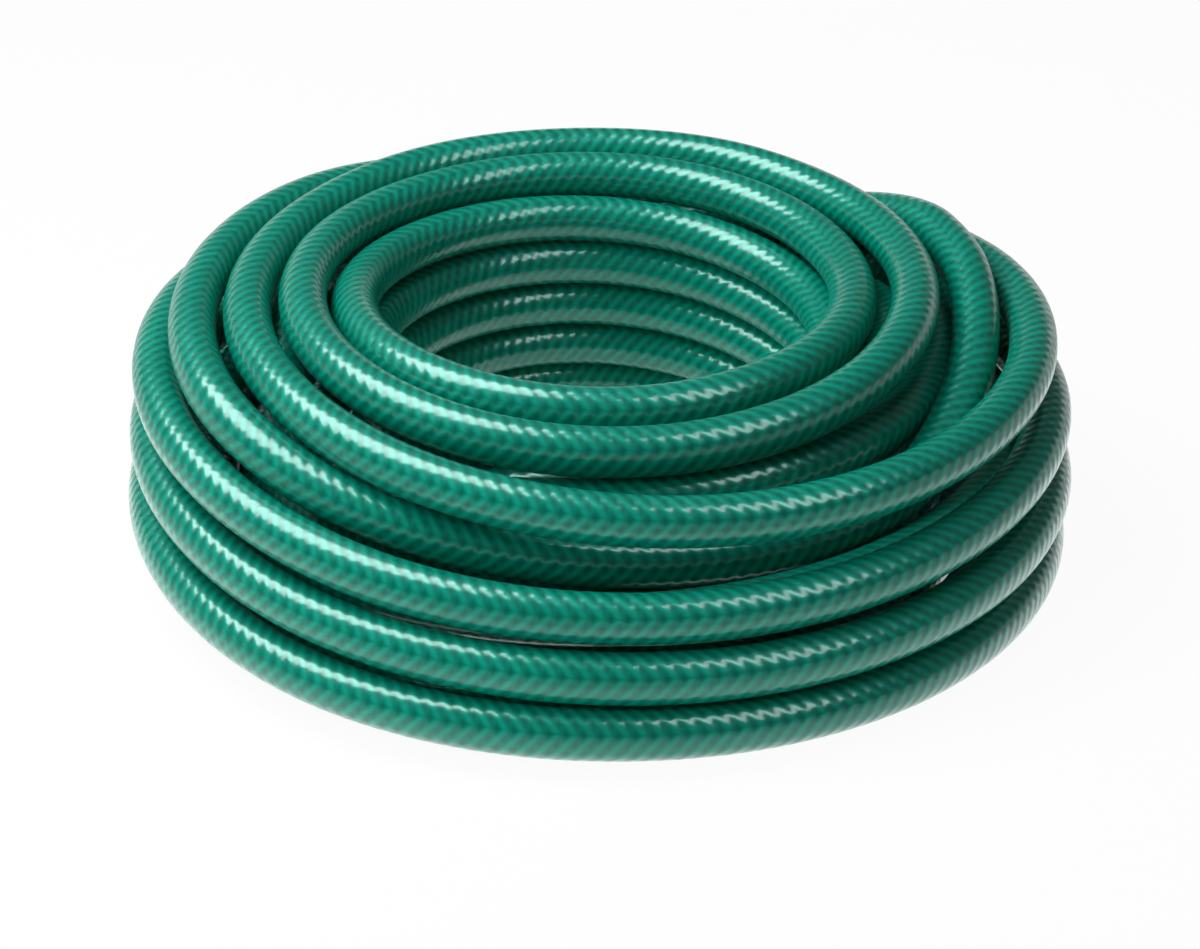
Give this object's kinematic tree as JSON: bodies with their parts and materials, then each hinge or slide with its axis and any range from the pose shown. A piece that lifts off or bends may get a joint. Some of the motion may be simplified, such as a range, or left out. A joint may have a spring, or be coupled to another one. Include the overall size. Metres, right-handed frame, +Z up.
{
  "type": "garden hose",
  "caption": "Coiled reinforced garden hose with a swivel coupling on the inlet and a screw cap on the outlet.",
  "frame": {"origin": "centre of the object's bounding box at ground level, on the surface that the coil lies on", "axes": "+Z up, the coil's axis; +Y towards the two couplings at the back; +X to the right seen from the front"},
  "size_m": [0.339, 0.3781, 0.1097],
  "materials": {
    "hose": "glossy",
    "core": "glossy",
    "brass": "satin",
    "rubber": "matte"
  },
  "bodies": {
    "hose": {"hose": "hose", "inner_turns": "core", "hose_inlet_end": "hose", "hose_outlet_end": "hose", "inlet_ferrule": "brass", "inlet_stem": "brass", "inlet_washer": "rubber", "outlet_ferrule": "brass", "outlet_stem": "brass"},
    "inlet_nut": {"inlet_nut": "brass"},
    "cap_washer": {"cap_washer": "rubber"},
    "end_cap": {"end_cap": "brass"}
  },
  "joints": [
    {"name": "nut_swivel", "type": "hinge", "parent": "hose", "child": "inlet_nut", "pos_m": [-0.08299, 0.16894, 0.0168], "axis": [0.7071, 0.7071, 0], "continuous": true},
    {"name": "cap_travel", "type": "slide", "parent": "hose", "child": "cap_washer", "axis": [-0.7071, 0.7071, 0], "range_m": [0, 0.0111]},
    {"name": "cap_turn", "type": "hinge", "parent": "cap_washer", "child": "end_cap", "pos_m": [0.08489, 0.16955, 0.0168], "axis": [-0.7071, 0.7071, 0], "range_deg": [0, 1800]}
  ],
  "couplings": [
    {"joint": "cap_travel", "follows": "cap_turn", "m_per_rad": 0.00035173}
  ]
}
